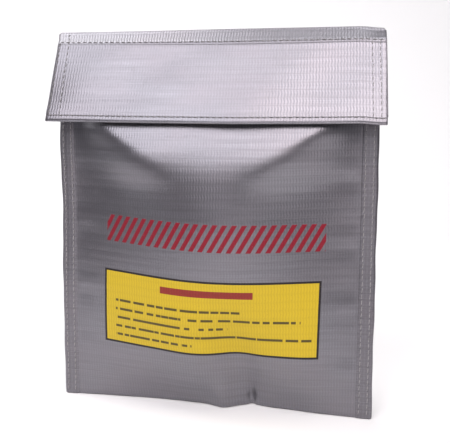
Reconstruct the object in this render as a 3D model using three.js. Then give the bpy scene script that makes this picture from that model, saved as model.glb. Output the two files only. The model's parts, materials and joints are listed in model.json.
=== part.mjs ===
// Fire-resistant charging pouch for lithium battery packs: a standing sleeve of coated glass cloth,
// sewn up its two sides inside folded binding strips, with an open mouth under a hook-and-loop flap.
// Millimetres, +Z up, +X to the right as the front is seen, front facing -Y. The pouch stands on its base,
// and its frame's origin is the middle of its box at floor level.
import * as THREE from "three";

// ---- Driving dimensions -------------------------------------------------------------------------------
const CLOTH = 0.8; // pouch cloth, with its coating
const FLAP_CLOTH = 0.6; // the flap's single ply, pressed flat
const BINDING = 0.6; // folded strip over the side seams
const TAPE = 0.9; // woven hook or loop tape, with its pile
const THREAD = 0.4; // sewing thread lying on the cloth
const GAP = 0.3; // free space between touching pieces
const PILE_GAP = 1.0; // engaged hooks and loops between the two tapes
const HEM_CLEAR = 0.5; // the panels end this far above the floor, which the base rests on
const SLANT = 1.2; // a slanting panel is up to this much deeper, measured front to back

const POUCH_HALF_WIDTH = 86.5; // outer edge of a seam binding
const SEAM_WIDTH = 8; // flat flange of a side seam
const FLAP_HALF_WIDTH = 90; // at its free edge
const FOLD_HALF_WIDTH = 88;
const FOLD_HEIGHT = 205; // top fold, where the flap begins
const FOLD_DEPTH = 6; // the fold's place behind the seams' plane, before the lean
const CREASE_HEIGHT = 199.5; // where the flap turns down over the mouth
const CREASE_ROUND = 4; // half the length of that turn
const FLAP_EDGE_HEIGHT = 157; // free edge of the closed flap
const LIP_HEIGHT = 196; // front edge of the mouth
const BACK_HEIGHT = 202.5; // top of the back panel, just under the fold
const LEAN = Math.tan(THREE.MathUtils.degToRad(4.5)); // the standing pouch slumps back a little
const FLAP_ROOT = 1.5; // the flap's cloth starts this far down from the line about which the fold bends
const FOOT_END = 12; // the flat foot stops this far inside each seam

const ROW_INSET = 3; // a tape's stitching from its long edges
const SEAM_ROWS = { outer: 5.8, inner: 1.5 }; // rows of stitches, from a seam's inner edge
const FLAP_HEM = { side: 8, edge: 3.2, row: 3.6, clear: 0.3 }; // hem widths, and their stitching and ends

// The side seams' line, as [height, depth], and how far the filled pouch bulges from it in the middle.
const SEAM_LINE = [[0, 0], [60, 0], [105, -0.5], [157, -3], [LIP_HEIGHT, 1.5], [BACK_HEIGHT, 4]];
const FRONT_BULGE = [[0, 0], [25, -11], [60, -20], [105, -23.5], [135, -18]];
const BACK_BULGE = [[0, 25], [30, 26], [80, 25.5], [130, 24], [157, 18], [LIP_HEIGHT, 7.5], [BACK_HEIGHT, 0]];
const CORNER = 30; // the mouth bends back to the seams over this much of its width at each side

const inner = POUCH_HALF_WIDTH - SEAM_WIDTH; // the cloth is free to bulge inside the two seams
const stack = FLAP_CLOTH + GAP + TAPE + PILE_GAP + TAPE + GAP; // flap's face to the front panel's face

// ---- Surfaces -----------------------------------------------------------------------------------------
// Smooth curve through [height, value] points, which never swings past them.
function through(points, at) {
  const last = points.length - 1;
  const rate = (i) => (points[i + 1][1] - points[i][1]) / (points[i + 1][0] - points[i][0]);
  const slope = (i) => {
    if (i === 0) return rate(0);
    if (i === last) return rate(last - 1);
    const [before, after] = [rate(i - 1), rate(i)];
    return before * after > 0 ? (2 * before * after) / (before + after) : 0;
  };
  let i = 0;
  while (i < last - 1 && at > points[i + 1][0]) i++;
  const [x0, y0] = points[i];
  const [x1, y1] = points[i + 1];
  const span = x1 - x0;
  const t = THREE.MathUtils.clamp((at - x0) / span, 0, 1);
  const rise = y0 * (1 + 2 * t) * (1 - t) ** 2 + y1 * t * t * (3 - 2 * t);
  return rise + span * (slope(i) * t * (1 - t) ** 2 - slope(i + 1) * t * t * (1 - t));
}

// The flap's profile at a distance x from the middle: its fold, its crease and its free edge, as (y, z).
function flapProfile(x) {
  const bow = (x / FLAP_HALF_WIDTH) ** 2;
  return {
    fold: new THREE.Vector2(FOLD_DEPTH, FOLD_HEIGHT),
    crease: new THREE.Vector2(-2 - 0.5 * bow, CREASE_HEIGHT),
    edge: new THREE.Vector2(-19 + 4 * bow, FLAP_EDGE_HEIGHT),
  };
}

// Outer face of the front panel behind the closed flap, one stack of tapes behind the flap's own face.
function mouthLine(x, z) {
  const { crease, edge } = flapProfile(x);
  const slope = (crease.x - edge.x) / (crease.y - edge.y);
  return crease.x + (z - crease.y) * slope + stack * Math.hypot(1, slope);
}

// How much of the middle's bulge is left at x: none at the seams, rising smoothly from them.
const rounded = (x, power) => Math.cos((Math.PI / 2) * Math.min(Math.abs(x) / inner, 1)) ** power;
const flattened = (x) => THREE.MathUtils.smoothstep(inner - Math.abs(x), 0, CORNER);

const lean = (x, y, z) => new THREE.Vector3(x, y + z * LEAN, z);
const seamLine = (z) => through(SEAM_LINE, z);

// The front lies flat behind the tapes, and below them it swells out in a round.
function frontFace(x, z) {
  const level = Math.max(z, FLAP_EDGE_HEIGHT);
  const mouth = mouthLine(x, level) - seamLine(level);
  const depth = z < level ? through([...FRONT_BULGE, [level, mouth]], z) : mouth;
  const flat = THREE.MathUtils.smoothstep(z, 115, FLAP_EDGE_HEIGHT);
  const share = THREE.MathUtils.lerp(rounded(x, 1.4), flattened(x), flat);
  return lean(x, seamLine(z) + share * depth, z);
}
const backDepth = 2 * CLOTH * SLANT + GAP; // front face to back face in a seam
const backFace = (x, z) => lean(x, seamLine(z) + backDepth + rounded(x, 1.2) * through(BACK_BULGE, z), z);

function flapLength(x) {
  const { fold, crease, edge } = flapProfile(x);
  return fold.distanceTo(crease) + crease.distanceTo(edge);
}

// The flap's outer face at a distance s down from its fold, rounded at the crease.
function flapFace(x, s) {
  const { fold, crease, edge } = flapProfile(x);
  const strip = fold.distanceTo(crease);
  const taper = THREE.MathUtils.lerp(FOLD_HALF_WIDTH, FLAP_HALF_WIDTH, s / flapLength(x)) / FLAP_HALF_WIDTH;
  const along = (from, to, distance) => from.clone().lerp(to, distance / from.distanceTo(to));
  let p;
  if (s <= strip - CREASE_ROUND) p = along(fold, crease, s);
  else if (s >= strip + CREASE_ROUND) p = along(crease, edge, s - strip);
  else {
    const [above, below] = [fold, edge].map((end) => along(crease, end, CREASE_ROUND));
    const turn = new THREE.QuadraticBezierCurve(above, crease, below);
    p = turn.getPoint((s - strip + CREASE_ROUND) / (2 * CREASE_ROUND));
  }
  return lean(x * taper, p.x, p.y);
}

// ---- Solids -------------------------------------------------------------------------------------------
// A point a distance w outside a face, where outside is the side that the vector outward points to.
function offset(face, u, v, w, outward) {
  const step = 0.05;
  const du = face(u + step, v).sub(face(u - step, v));
  const dv = face(u, v + step).sub(face(u, v - step));
  const normal = du.cross(dv).normalize();
  if (normal.dot(outward) < 0) normal.negate();
  return face(u, v).addScaledVector(normal, w);
}

// Bends a flat solid, whose x, y and z are u, v and w, over a face, and turns its triangles outward.
function bend(flat, face, outward) {
  const geometry = flat.index ? flat.toNonIndexed() : flat;
  const position = geometry.getAttribute("position");
  const p = new THREE.Vector3();
  for (let i = 0; i < position.count; i++) {
    p.fromBufferAttribute(position, i);
    const q = offset(face, p.x, p.y, p.z, outward);
    position.setXYZ(i, q.x, q.y, q.z);
  }
  return facingOut(geometry);
}

function facingOut(geometry) {
  const position = geometry.getAttribute("position");
  const [a, b, c] = [0, 1, 2].map(() => new THREE.Vector3());
  let volume = 0;
  for (let i = 0; i < position.count; i += 3) {
    [a, b, c].forEach((corner, k) => corner.fromBufferAttribute(position, i + k));
    volume += a.dot(b.cross(c));
  }
  if (volume < 0)
    for (let i = 0; i < position.count; i += 3) {
      a.fromBufferAttribute(position, i);
      b.fromBufferAttribute(position, i + 1);
      position.setXYZ(i, b.x, b.y, b.z);
      position.setXYZ(i + 1, a.x, a.y, a.z);
    }
  geometry.computeVertexNormals();
  return geometry;
}

// Grid lines. Layers bent over one face share them, so that they keep their distance everywhere.
const even = (from, to, cells) =>
  Array.from({ length: cells + 1 }, (_, i) => from + ((to - from) * i) / cells);
const between = (lines, from, to) => [from, ...lines.filter((at) => at > from + 1 && at < to - 1), to];
const LOOP_TAPE = { half: inner - 1, from: FLAP_EDGE_HEIGHT + 1, to: LIP_HEIGHT - 1 };
const MOUTH_LEVELS = even(LOOP_TAPE.from + ROW_INSET, LOOP_TAPE.to - ROW_INSET, 5);
const LEVELS = [
  ...even(0, FLAP_EDGE_HEIGHT, 16), LOOP_TAPE.from, ...MOUTH_LEVELS, LOOP_TAPE.to, LIP_HEIGHT,
];
const CORNER_STATIONS = [inner, ...even(LOOP_TAPE.half, inner - CORNER, 5)];
const STATIONS = [
  ...CORNER_STATIONS.map((x) => -x),
  ...even(CORNER - inner, inner - CORNER, 8).slice(1, -1),
  ...CORNER_STATIONS.toReversed(),
];
const BACK_STATIONS = even(-inner, inner, 14);
const FLAP_STATIONS = even(-FLAP_HALF_WIDTH, FLAP_HALF_WIDTH, 20);

// A flat slab with grid lines at every u and v, from w[0] to w[1] thick.
function slab(u, v, w) {
  const [columns, rows] = [u.length - 1, v.length - 1];
  const box = new THREE.BoxGeometry(columns, rows, 1, columns, rows, 1);
  const position = box.getAttribute("position");
  for (let i = 0; i < position.count; i++) {
    const column = Math.round(position.getX(i) + columns / 2);
    const row = Math.round(position.getY(i) + rows / 2);
    position.setXYZ(i, u[column], v[row], position.getZ(i) > 0 ? w[1] : w[0]);
  }
  return box;
}

// A flat closed row of thread, just inside the rectangle that the grid lines u and v fill.
function rowAround(u, v, w) {
  const walk = [
    ...u.slice(0, -1).map((x) => [x, v[0]]),
    ...v.slice(0, -1).map((y) => [u.at(-1), y]),
    ...u.slice(1).reverse().map((x) => [x, v.at(-1)]),
    ...v.slice(1).reverse().map((y) => [u[0], y]),
  ];
  const { clamp } = THREE.MathUtils;
  const at = ([x, y], inset, height) =>
    [clamp(x, u[0] + inset, u.at(-1) - inset), clamp(y, v[0] + inset, v.at(-1) - inset), height];
  const width = THREAD * 1.5;
  const sections = walk.map((p) => [at(p, 0, w[0]), at(p, width, w[0]), at(p, width, w[1]), at(p, 0, w[1])]);
  const triangles = sections.flatMap((here, i) => {
    const next = sections[(i + 1) % sections.length];
    return here.flatMap((a, k) => {
      const [b, c, d] = [here[(k + 1) % 4], next[(k + 1) % 4], next[k]];
      return [a, b, c, a, c, d];
    });
  });
  const row = new THREE.BufferGeometry();
  return row.setAttribute("position", new THREE.Float32BufferAttribute(triangles.flat(), 3));
}

// ---- Materials ----------------------------------------------------------------------------------------
const SILVER_CLOTH = { color: 0x9c99a1, roughness: 0.42, metalness: 0.7 };
const PRINTED_CLOTH = { color: 0x949199, roughness: 0.45, metalness: 0.65 };
const SILVER_STRIP = { color: 0x8f8c94, roughness: 0.5, metalness: 0.6 };
const HOOKS = { color: 0x1b1b1d, roughness: 0.8, metalness: 0 };
const LOOPS = { color: 0x202022, roughness: 0.98, metalness: 0 };
const GREY_THREAD = { color: 0x8d8a90, roughness: 0.7, metalness: 0 };

// ---- Pieces -------------------------------------------------------------------------------------------
const pouch = new THREE.Group();
const flap = new THREE.Group();
const FRONT = new THREE.Vector3(0, -1, 0.3);
const BACK = new THREE.Vector3(0, 1, 0);

function add(group, name, geometry, look) {
  const mesh = new THREE.Mesh(geometry, new THREE.MeshStandardMaterial(look));
  mesh.name = name;
  group.add(mesh);
}

function addPanels() {
  const edge = POUCH_HALF_WIDTH - BINDING - GAP;
  const panel = (stations, top) =>
    slab([-edge, ...stations, edge], between(LEVELS, HEM_CLEAR, top), [-CLOTH, 0]);
  add(pouch, "front_panel", bend(panel(STATIONS, LIP_HEIGHT), frontFace, FRONT), PRINTED_CLOTH);
  add(pouch, "back_panel", bend(panel(BACK_STATIONS, BACK_HEIGHT), backFace, BACK), SILVER_CLOTH);
}

// The bottom of the cloth, opened by the filling into a flat foot between the two panels.
function addBase() {
  const clear = CLOTH * SLANT + GAP;
  const end = inner - FOOT_END;
  const edge = (face, side) =>
    new THREE.LineCurve(new THREE.Vector2(-end, 0), new THREE.Vector2(end, 0))
      .getPoints(LEVELS.length)
      .map((p) => new THREE.Vector2(p.x, face(p.x, 0).y + side * clear));
  const outline = [...edge(frontFace, 1), ...edge(backFace, -1).reverse()];
  const foot = new THREE.ExtrudeGeometry(new THREE.Shape(outline), { depth: CLOTH, bevelEnabled: false });
  add(pouch, "base_panel", facingOut(foot), SILVER_CLOTH);
}

// A strip folded round the two panels' edges, so that its section is a U lying on its side.
function addBinding(name, side) {
  const depth = backDepth + GAP;
  const section = new THREE.Shape([
    [0, -GAP - BINDING], [SEAM_WIDTH, -GAP - BINDING], [SEAM_WIDTH, depth + BINDING], [0, depth + BINDING],
    [0, depth], [SEAM_WIDTH - BINDING, depth], [SEAM_WIDTH - BINDING, -GAP], [0, -GAP],
  ].map(([across, deep]) => new THREE.Vector2(across, deep)));
  const levels = between(LEVELS, HEM_CLEAR, LIP_HEIGHT);
  const steps = levels.length - 1;
  const strip = new THREE.ExtrudeGeometry(section, { depth: steps, steps, bevelEnabled: false });
  const position = strip.getAttribute("position");
  for (let i = 0; i < position.count; i++) {
    const z = levels[Math.round(position.getZ(i))];
    const seam = lean(side * (inner + position.getX(i)), seamLine(z), z);
    position.setXYZ(i, seam.x, seam.y + position.getY(i), z);
  }
  add(pouch, name, facingOut(strip), SILVER_STRIP);
}

// Two rows of lockstitch up each seam: needle thread in front, bobbin thread behind.
function addSeamThreads(name, side) {
  const lift = GAP + BINDING + GAP;
  const levels = between(LEVELS, 2, LIP_HEIGHT - 2);
  for (const [row, across] of Object.entries(SEAM_ROWS)) {
    const middle = side * (inner + across);
    const thread = () => slab([middle - THREAD / 2, middle + THREAD / 2], levels, [lift, lift + THREAD]);
    add(pouch, `${name}_${row}_needle_thread`, bend(thread(), frontFace, FRONT), GREY_THREAD);
    add(pouch, `${name}_${row}_bobbin_thread`, bend(thread(), backFace, BACK), GREY_THREAD);
  }
}

// The hem folded inside the mouth, and the loop tape sewn over it on the outside.
function addMouth() {
  const { half, from, to } = LOOP_TAPE;
  const row = CORNER_STATIONS[2]; // the stitching and the hem stop short of the seams
  const hemLevels = LEVELS.filter((z) => z >= MOUTH_LEVELS[4]);
  const hem = slab(between(STATIONS, -row, row), hemLevels, [-2 * CLOTH - GAP, -CLOTH - GAP]);
  add(pouch, "mouth_hem", bend(hem, frontFace, FRONT), SILVER_CLOTH);
  const tape = slab(between(STATIONS, -half, half), [from, ...MOUTH_LEVELS, to], [GAP, GAP + TAPE]);
  add(pouch, "loop_tape", bend(tape, frontFace, FRONT), LOOPS);
  const lift = 2 * GAP + TAPE;
  const thread = rowAround(between(STATIONS, -row, row), MOUTH_LEVELS, [lift, lift + THREAD]);
  add(pouch, "loop_tape_thread", bend(thread, frontFace, FRONT), GREY_THREAD);
}

function addFlap() {
  const { fold, crease } = flapProfile(0);
  const strip = fold.distanceTo(crease);
  const length = flapLength(0);
  const end = length - FLAP_HEM.clear;
  const turn = even(strip - CREASE_ROUND, strip + CREASE_ROUND, 4);
  const rows = (from, to) => between([...turn, ...even(turn.at(-1), length, 6)], from, to);
  const cloth = slab(FLAP_STATIONS, rows(FLAP_ROOT, length), [-FLAP_CLOTH, 0]);
  add(flap, "flap_cloth", bend(cloth, flapFace, FRONT), SILVER_CLOTH);

  const under = [-2 * FLAP_CLOTH - GAP, -FLAP_CLOTH - GAP]; // hems are folded under the cloth
  const over = [GAP, GAP + THREAD];
  const tapeEdge = FLAP_HALF_WIDTH - FLAP_HEM.side;
  for (const [name, side] of [["left", -1], ["right", 1]]) {
    const columns = [side * tapeEdge, side * FLAP_HALF_WIDTH].sort((a, b) => a - b);
    const hem = slab(columns, rows(turn[0], end), under);
    add(flap, `flap_${name}_hem`, bend(hem, flapFace, FRONT), SILVER_CLOTH);
    const middle = side * (FLAP_HALF_WIDTH - FLAP_HEM.row);
    const thread = slab([middle - THREAD / 2, middle + THREAD / 2], rows(turn[0], end - 1), over);
    add(flap, `flap_${name}_hem_thread`, bend(thread, flapFace, FRONT), GREY_THREAD);
  }

  const half = tapeEdge - GAP;
  const columns = between(FLAP_STATIONS, -half, half);
  const bottom = slab(columns, [end - FLAP_HEM.edge, end], under);
  add(flap, "flap_edge_hem", bend(bottom, flapFace, FRONT), SILVER_CLOTH);

  // The hook tape lies under the cloth, from the turn down to the hem of the free edge.
  const tapeRows = rows(turn[1], end - FLAP_HEM.edge - GAP);
  const tape = slab(columns, tapeRows, [-FLAP_CLOTH - GAP - TAPE, -FLAP_CLOTH - GAP]);
  add(flap, "hook_tape", bend(tape, flapFace, FRONT), HOOKS);

  // One row of stitching runs round it: needle thread on the cloth, bobbin thread on the tape.
  const sewn = rows(turn[2], tapeRows.at(-1) - 1);
  const below = -FLAP_CLOTH - TAPE - 2 * GAP;
  const needle = rowAround(columns, sewn, over);
  const bobbin = rowAround(columns, sewn, [below - THREAD, below]);
  add(flap, "hook_tape_needle_thread", bend(needle, flapFace, FRONT), GREY_THREAD);
  add(flap, "hook_tape_bobbin_thread", bend(bobbin, flapFace, FRONT), GREY_THREAD);
}

addPanels();
addBase();
for (const [name, side] of [["left", -1], ["right", 1]]) {
  addBinding(`${name}_seam_binding`, side);
  addSeamThreads(`${name}_seam`, side);
}
addMouth();
addFlap();

// The flap turns against the pouch about a line along X, 12.6 behind the origin and 204.2 above it.
const part = new THREE.Group();
part.add(pouch, flap);
const box = new THREE.Box3().setFromObject(part, true);
part.position.y = -(box.min.y + box.max.y) / 2;
export default part;
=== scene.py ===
"""Looks of a charging pouch: coated glass cloth, bound seams, single stitches, hook-and-loop tapes.

The cloth is two sheets. One runs from the mouth's hem down the front and half-way along the foot, and the
other from there up the back, over the top fold and down the flap. Lengths in this script are millimetres,
in the part's frame, until a mesh is made of them. Depths grow towards the back.
"""
import json
import math

import bpy
import numpy as np
from mathutils import Matrix, Vector


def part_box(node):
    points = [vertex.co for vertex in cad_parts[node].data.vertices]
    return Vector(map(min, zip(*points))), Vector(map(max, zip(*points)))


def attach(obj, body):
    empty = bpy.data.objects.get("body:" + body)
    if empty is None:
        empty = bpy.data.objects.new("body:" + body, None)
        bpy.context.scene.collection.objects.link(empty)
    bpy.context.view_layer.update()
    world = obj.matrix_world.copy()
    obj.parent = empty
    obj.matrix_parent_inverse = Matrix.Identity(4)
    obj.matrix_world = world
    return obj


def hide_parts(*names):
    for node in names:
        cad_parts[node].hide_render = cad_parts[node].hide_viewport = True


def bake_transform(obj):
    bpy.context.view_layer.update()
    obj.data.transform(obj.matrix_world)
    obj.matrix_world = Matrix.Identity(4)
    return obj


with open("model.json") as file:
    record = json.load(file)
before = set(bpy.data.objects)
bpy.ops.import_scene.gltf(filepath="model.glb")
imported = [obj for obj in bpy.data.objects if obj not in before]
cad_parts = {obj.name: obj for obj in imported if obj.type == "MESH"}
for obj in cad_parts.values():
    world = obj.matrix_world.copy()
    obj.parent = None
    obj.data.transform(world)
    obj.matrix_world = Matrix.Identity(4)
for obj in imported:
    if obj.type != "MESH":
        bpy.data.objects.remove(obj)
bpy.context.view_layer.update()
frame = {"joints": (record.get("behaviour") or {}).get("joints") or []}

MM = 0.001

# ---- Dimensions, the same as in the part ---------------------------------------------------------------
CLOTH, FLAP_CLOTH, BINDING, TAPE = 0.8, 0.6, 0.6, 0.9
GAP = 0.3  # free space between touching pieces
SEAM_WIDTH = 8
BACK_DEPTH = 2 * CLOTH * 1.2 + GAP  # front face to back face in a side seam
LEAN = math.tan(math.radians(4.5))
FOLD_DEPTH, FOLD_HEIGHT = 6, 205
FLAP_EDGE, LIP, BACK_TOP = 157, 196, 202.5  # heights of the flap's free edge, the mouth and the back
FLAP_HALF, FOLD_HALF = 90, 88
SEAM_LINE = [(0, 0), (60, 0), (105, -0.5), (FLAP_EDGE, -3), (LIP, 1.5), (BACK_TOP, 4)]
BACK_BULGE = [(0, 25), (30, 26), (80, 25.5), (130, 24), (FLAP_EDGE, 18), (LIP, 7.5), (BACK_TOP, 0)]
STACK = 2 * TAPE + FLAP_CLOTH + 2 * GAP + 1.0  # flap's face to the front's face, engaged pile included
SIDE_HEM, EDGE_HEM = 8, 3.2
SEAM_ROWS = {"outer": 5.8, "inner": 1.5}  # rows of stitches, out from a seam's inner edge

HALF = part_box("right_seam_binding")[1].x / MM  # outer edge of a seam binding
INNER = HALF - SEAM_WIDTH
HINGE = Vector(frame["joints"][0]["pos_m"]) / MM
MIDDLE = HINGE.y - FOLD_DEPTH - HINGE.z * LEAN  # the seams' plane at floor level, front to back

# ---- Dimensions of the looks alone ---------------------------------------------------------------------
FRONT_BULGE = [(0, 0), (25, -11), (60, -20), (103, -23.5), (126, -21)]  # fuller below the flap
CREASE_HEIGHT, CREASE_ROUND = 198.2, 1  # a little lower than the part's, and crisper
SHOULDER_TOP, SHOULDER_LOW = 42, 76  # width over which the front bends back to a seam, and lower down
LEFT_EDGE = [(0, 89.4), (11, 86.8), (32, 88.2), (55, 89.5)]  # flap's left half width, down from the fold
FOOT_TURN, FOOT_SPLAY = 0.036, 1.3  # the foot is askew by this slope, and its left end stands out
HAIR = 0.05  # free space between cloths that lie on each other
STITCH = 3.2  # pitch of the stitches
STITCH_SIZE = {"length": 2.5, "height": 0.8, "radius": 0.2}


# ---- Shape of the pouch --------------------------------------------------------------------------------
def smoothstep(x, start, end):
    """0 up to start and 1 from end on, or the other way round where end is the lower."""
    t = np.clip((x - start) / (end - start), 0, 1)
    return t * t * (3 - 2 * t)


def shoulder(x, width):
    """A rise from 0 to 1 over the width, steepest near its foot and gentle at its top."""
    t = np.clip(x / width, 0, 1)
    return 1 - (1 - t) ** 3 * (1 + 3 * t)


def lerp(a, b, t):
    return a + (b - a) * t


def unit(v):
    return v / np.linalg.norm(v, axis=-1, keepdims=True)


def bump(x, centre, width):
    """A round hump of height 1 at centre, gone a few widths away."""
    return np.exp(-(((x - centre) / width) ** 2))


def through(points, at):
    """Smooth curve through (height, value) points, which never swings past them."""
    heights = [p[0] for p in points]
    values = [np.broadcast_to(np.asarray(p[1], float), at.shape) for p in points]
    rates = [(values[i + 1] - values[i]) / (heights[i + 1] - heights[i]) for i in range(len(points) - 1)]
    slopes = [rates[0]]
    for before, after in zip(rates, rates[1:]):
        same = before * after > 0
        slopes.append(np.where(same, 2 * before * after / np.where(same, before + after, 1), 0))
    slopes.append(rates[-1])
    result = np.zeros(at.shape)
    for i in range(len(points) - 1):
        span = heights[i + 1] - heights[i]
        t = np.clip((at - heights[i]) / span, 0, 1)
        ends = values[i] * (1 + 2 * t) * (1 - t) ** 2 + values[i + 1] * t * t * (3 - 2 * t)
        piece = ends + span * (slopes[i] * t * (1 - t) ** 2 - slopes[i + 1] * t * t * (1 - t))
        result = piece if i == 0 else np.where(at >= heights[i], piece, result)
    return result


def place(x, y, z):
    """Points from their distance behind the seams' plane, which leans back. At the foot it is askew."""
    x, y, z = np.broadcast_arrays(x, y, z)
    twist = -FOOT_TURN * x * smoothstep(z, 90, 0)
    splay = FOOT_SPLAY * smoothstep(z, 130, 20) * smoothstep(-x, 20, 80)
    return np.stack([x - splay, y + z * LEAN + MIDDLE + twist, z], -1).astype(float)


def seam_line(z):
    """Depth of the seams' front face, with a little sway."""
    sway = 0.2 * np.sin(z / 13 + 0.6) + 0.05 * np.sin(z / 6.1)
    return through(SEAM_LINE, z) + sway * smoothstep(z, 4, 30) * smoothstep(z, 190, 165)


def rounded(x, power):
    """The bulge's share of its full depth at a distance x from the middle."""
    return np.cos(np.pi / 2 * np.minimum(np.abs(x) / INNER, 1)) ** power


def flap_profile(x):
    """The flap's fold, crease and free edge at a distance x from the middle, as (depth, height).

    The strip between fold and crease is steeper towards the right, and the fold drops at its right end.
    """
    bow = (x / FLAP_HALF) ** 2
    point = lambda depth, height: np.stack(np.broadcast_arrays(depth, height + 0 * x), -1).astype(float)
    steeper = smoothstep(x, -75, 30)
    height = FOLD_HEIGHT + 0.5 * steeper - 1.3 * smoothstep(x, 76, 88)
    fold = point(FOLD_DEPTH - 1.1 * steeper, height)
    return fold, point(-2 - 0.5 * bow, CREASE_HEIGHT), point(-19 + 4 * bow, FLAP_EDGE)


def mouth_line(x, z):
    """The front's outer face behind the closed flap, one stack of tapes behind the flap's face."""
    _, crease, edge = flap_profile(x)
    slope = (crease[..., 0] - edge[..., 0]) / (crease[..., 1] - edge[..., 1])
    return crease[..., 0] + (z - CREASE_HEIGHT) * slope + STACK * np.hypot(1, slope)


def puckers(x, z, seed):
    """Small pulls that a sewn seam makes in the cloth beside it."""
    inside = np.clip(INNER - np.abs(x), 0, None)
    side = np.where(x < 0, 0.0, 2.1) + seed
    wave = np.sin(z / 2.9 + side) + 0.7 * np.sin(z / 4.7 + 2.3 * side) + 0.5 * np.sin(z / 1.9 + 1.7 * side)
    return wave * 0.1 * (inside / 6) * np.exp(1 - inside / 6) * smoothstep(z, 2, 12)


def front_creases(x, z):
    """What sets the standing cloth apart from a smooth bulge: dents, folds and slack."""
    centre, spread = 22 - 0.2 * z, 9 + 0.08 * z
    dent = lerp(3.9, 5.8, smoothstep(z, 0, 18)) * bump(x, centre, spread) + 2.2 * bump(x, 38, 14)
    dent = dent * smoothstep(z, 78, 30)
    pinch = 1.6 * bump(x, 21.5, 2.2) * smoothstep(z, 18, 3) + 1.4 * bump(x, 21.5, 2.2) * bump(z, 6.5, 4)
    corner = -3.2 * bump(x, 6, 6) * smoothstep(z, 22, 0)
    hollow = 1.7 * bump(x, -30, 26) * smoothstep(z, 24, 0)
    lobes = -2.0 * (bump(x, -10, 14) + bump(x, 46, 13)) * smoothstep(z, 75, 25) * smoothstep(z, 0, 16)
    slack = 0.3 * np.sin(x / 17 + z / 31 + 0.8) + 0.2 * np.sin(x / 11 - z / 23 + 2.0)
    slack = slack * smoothstep(INNER - np.abs(x), 0, 22) * smoothstep(z, 2, 25) * smoothstep(z, 170, 140)
    return dent + pinch + corner + hollow + lobes + slack


def front(x, z):
    """The front's outer face, held by the closed flap above and bulging out below."""
    level = np.maximum(z, FLAP_EDGE)
    mouth = mouth_line(x, level) - through(SEAM_LINE, level)
    below = through(FRONT_BULGE + [(FLAP_EDGE, mouth)], z)
    depth = np.where(z < FLAP_EDGE, below, mouth)
    flat = smoothstep(z, 105, 140)
    corner = lerp(SHOULDER_TOP, SHOULDER_LOW, smoothstep(z, 154, 115)) - 15 * bump(z, 156, 10)
    share = lerp(rounded(x, 1.4), shoulder(INNER - np.abs(x), corner), flat)
    fade = smoothstep(z, 160, 145)
    return place(x, seam_line(z) + share * depth + front_creases(x, z) + fade * puckers(x, z, 0.4), z)


def back(x, z):
    """The back's outer face."""
    slack = 0.8 * np.sin(x / 19 - z / 27 + 0.4) + 0.5 * np.sin(x / 12 + z / 33 + 1.1)
    slack = slack + 2.2 * bump(x + 0.25 * z, 30, 9) * smoothstep(z, 60, 10)
    inside = smoothstep(INNER - np.abs(x), 0, 22) * smoothstep(z, 0, 20) * smoothstep(z, 198, 175)
    depth = rounded(x, 1.2) * through(BACK_BULGE, z)
    fade = smoothstep(z, 200, 185)
    return place(x, seam_line(z) + BACK_DEPTH + depth + slack * inside - fade * puckers(x, z, 1.9), z)


def flap_length(x):
    """Length of the flap from its fold to its free edge."""
    fold, crease, edge = flap_profile(x)
    return np.linalg.norm(fold - crease, axis=-1) + np.linalg.norm(crease - edge, axis=-1)


def flap(x, s):
    """The flap's outer face at a distance s down from its fold."""
    x, s = np.broadcast_arrays(np.asarray(x, float), np.asarray(s, float))
    s = s * (1 - 0.03 * (x / FLAP_HALF) ** 2)  # its sides are a little shorter than its middle
    fold, crease, edge = flap_profile(x)
    strip = np.linalg.norm(fold - crease, axis=-1)
    length = flap_length(x)
    left = through(LEFT_EDGE, s)
    half = np.where(x < 0, left, lerp(FOLD_HALF, FLAP_HALF, s / length))
    along = lambda a, b, d: a + (b - a) * (d / np.linalg.norm(b - a, axis=-1))[..., None]
    upper, lower = along(fold, crease, s), along(crease, edge, s - strip)
    t = np.clip((s - strip + CREASE_ROUND) / (2 * CREASE_ROUND), 0, 1)[..., None]
    start, end = along(crease, fold, CREASE_ROUND + 0 * s), along(crease, edge, CREASE_ROUND + 0 * s)
    turn = start * (1 - t) ** 2 + 2 * crease * t * (1 - t) + end * t * t
    point = np.where((s < strip - CREASE_ROUND)[..., None], upper, turn)
    point = np.where((s > strip + CREASE_ROUND)[..., None], lower, point)
    ripple = 0.35 * np.sin(x / 15 + 0.5) + 0.25 * np.sin(x / 8.3 + s / 9) + 0.2 * np.sin(x / 27 - s / 13)
    ripple = ripple * smoothstep(s, strip, strip + 12)
    lift = 0.9 * smoothstep(s, 40, 54) * (bump(x, -FLAP_HALF, 14) + 0.6 * bump(x, FLAP_HALF, 12))
    return place(x * half / FLAP_HALF, point[..., 0] - ripple - lift, point[..., 1])


FRONT, BACK = np.array([0, -1, 0.3]), np.array([0, 1, 0.0])  # which way a face looks, roughly


def on(face, u, v, lift, outward):
    """Points a distance lift outside a face."""
    u, v = np.broadcast_arrays(np.asarray(u, float), np.asarray(v, float))
    step = 0.05
    across = face(u + step, v) - face(u - step, v)
    along = face(u, v + step) - face(u, v - step)
    normal = unit(np.cross(across, along))
    normal *= np.sign(normal @ outward)[..., None]
    return face(u, v) + normal * np.asarray(lift)[..., None]


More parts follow.
